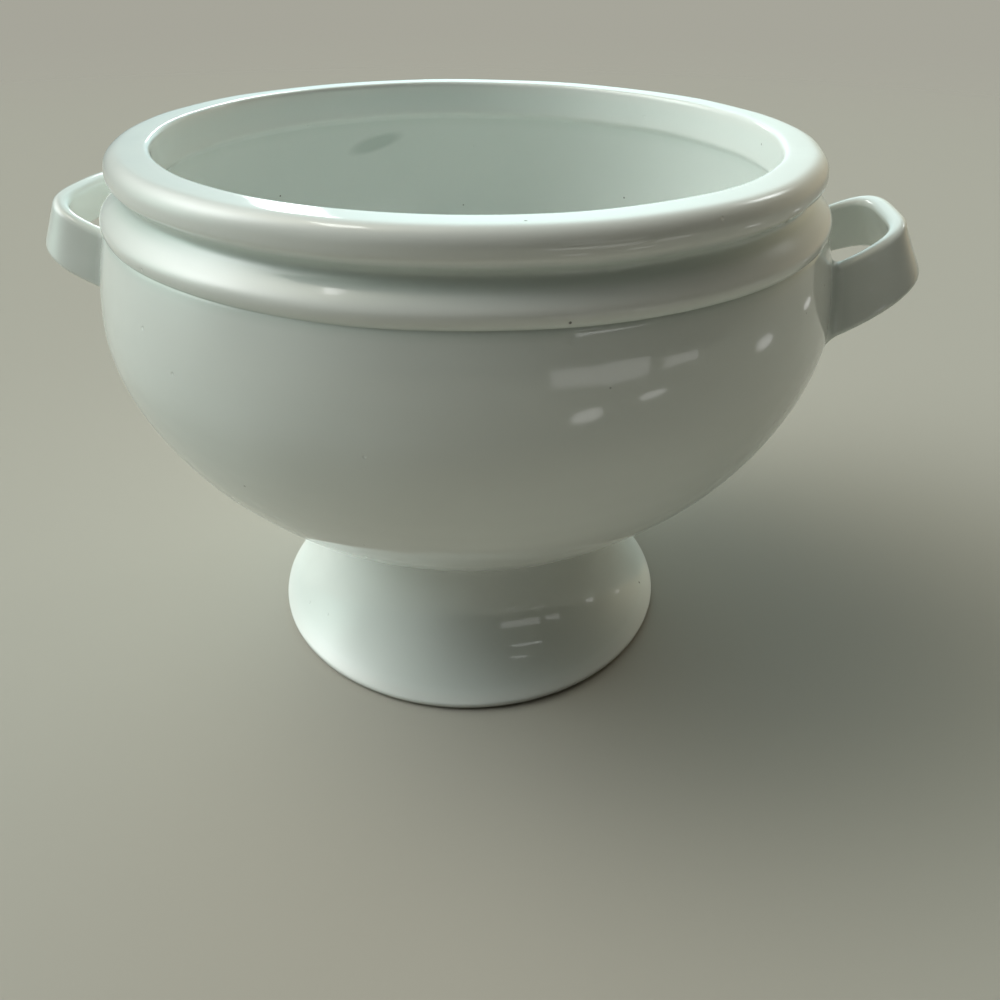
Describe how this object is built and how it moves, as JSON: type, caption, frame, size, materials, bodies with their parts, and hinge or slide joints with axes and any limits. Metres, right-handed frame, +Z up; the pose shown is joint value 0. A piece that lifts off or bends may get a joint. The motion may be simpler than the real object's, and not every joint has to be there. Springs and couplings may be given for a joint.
{
  "type": "french onion soup crock",
  "caption": "Footed white glazed soup crock with a wide round bowl, a heavy rolled rim over a moulded shoulder, a hollow trumpet foot and two flat strap handles.",
  "frame": {"origin": "bottom centre of the whole crock, on the table and on the bowl's axis to within the small difference between the two handles", "axes": "+Z up along the bowl's axis, X through the middle of both handles with +X towards the longer right handle, -Y towards the pictured side"},
  "size_m": [0.1659, 0.1374, 0.1028],
  "materials": {
    "glaze": "glossy white glaze with a faint green cast"
  },
  "bodies": {
    "root": {"bowl_body": "glaze", "pedestal_foot": "glaze", "neck_luting": "glaze", "right_handle": "glaze", "right_handle_slip_front": "glaze", "right_handle_slip_back": "glaze", "left_handle": "glaze", "left_handle_slip_front": "glaze", "left_handle_slip_back": "glaze"}
  },
  "joints": []
}
